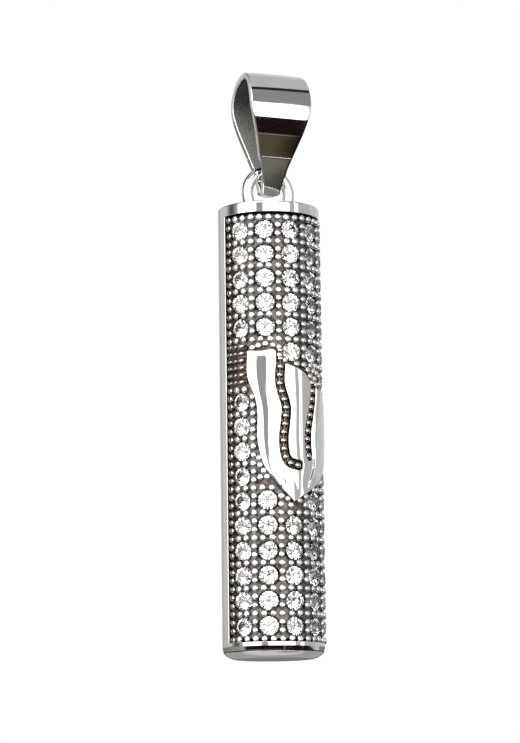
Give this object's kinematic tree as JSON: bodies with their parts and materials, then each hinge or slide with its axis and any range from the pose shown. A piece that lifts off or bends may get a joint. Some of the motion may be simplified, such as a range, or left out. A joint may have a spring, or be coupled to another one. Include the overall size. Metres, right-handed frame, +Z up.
{
  "type": "mezuzah case pendant",
  "caption": "Slim round pendant case with a stone-set front, a raised flame, a wire loop in a tapered bail and a pull-out end plug over a rolled scroll.",
  "frame": {"origin": "on the case's axis, at the height of the inside top of the bail, where the neck chain runs", "axes": "+Z up along the case, the stone-set front faces -Y, the chain runs along X"},
  "size_m": [0.007, 0.0073, 0.0407],
  "materials": {
    "polished_silver": "mirror polished rhodium-plated silver",
    "oxidised_silver": "bright beads over darkened recesses",
    "clear_stone": "faceted, clear",
    "parchment": "matte",
    "thread": "matte"
  },
  "bodies": {
    "bail": {"bail_strap": "polished_silver"},
    "case": {"case_tube": "polished_silver", "top_cap": "polished_silver", "loop_ring": "polished_silver", "pave_plate": "oxidised_silver", "emblem": "polished_silver", "bead_wire_left": "oxidised_silver", "bead_wire_right": "oxidised_silver", "stone_a01": "clear_stone", "stone_a02": "clear_stone", "stone_a03": "clear_stone", "stone_a04": "clear_stone", "stone_a05": "clear_stone", "stone_a08": "clear_stone", "stone_a09": "clear_stone", "stone_a10": "clear_stone", "stone_a11": "clear_stone", "stone_a12": "clear_stone", "stone_a13": "clear_stone", "stone_a14": "clear_stone", "stone_a15": "clear_stone", "stone_a16": "clear_stone", "stone_a17": "clear_stone", "stone_b01": "clear_stone", "stone_b02": "clear_stone", "stone_b03": "clear_stone", "stone_b04": "clear_stone", "stone_b05": "clear_stone", "stone_b12": "clear_stone", "stone_b13": "clear_stone", "stone_b14": "clear_stone", "stone_b15": "clear_stone", "stone_b16": "clear_stone", "stone_b17": "clear_stone", "stone_c01": "clear_stone", "stone_c02": "clear_stone", "stone_c03": "clear_stone", "stone_c04": "clear_stone", "stone_c05": "clear_stone", "stone_c06": "clear_stone", "stone_c13": "clear_stone", "stone_c14": "clear_stone", "stone_c15": "clear_stone", "stone_c16": "clear_stone", "stone_c17": "clear_stone", "stone_d01": "clear_stone", "stone_d02": "clear_stone", "stone_d03": "clear_stone", "stone_d04": "clear_stone", "stone_d05": "clear_stone", "stone_d06": "clear_stone", "stone_d12": "clear_stone", "stone_d13": "clear_stone", "stone_d14": "clear_stone", "stone_d15": "clear_stone", "stone_d16": "clear_stone", "stone_d17": "clear_stone"},
    "plug": {"bottom_plug": "polished_silver"},
    "scroll": {"scroll": "parchment", "scroll_tie": "thread"}
  },
  "joints": [
    {"name": "case_swing", "type": "hinge", "parent": "bail", "child": "case", "pos_m": [0, 0, -0.0064], "axis": [1, 0, 0], "range_deg": [-70, 70]},
    {"name": "plug_pull", "type": "slide", "parent": "case", "child": "plug", "axis": [0, 0, -1], "range_m": [0, 0.032]},
    {"name": "scroll_draw", "type": "slide", "parent": "case", "child": "scroll", "axis": [0, 0, -1], "range_m": [0, 0.032]}
  ],
  "couplings": [
    {"joint": "scroll_draw", "follows": "plug_pull", "ratio": 1}
  ]
}
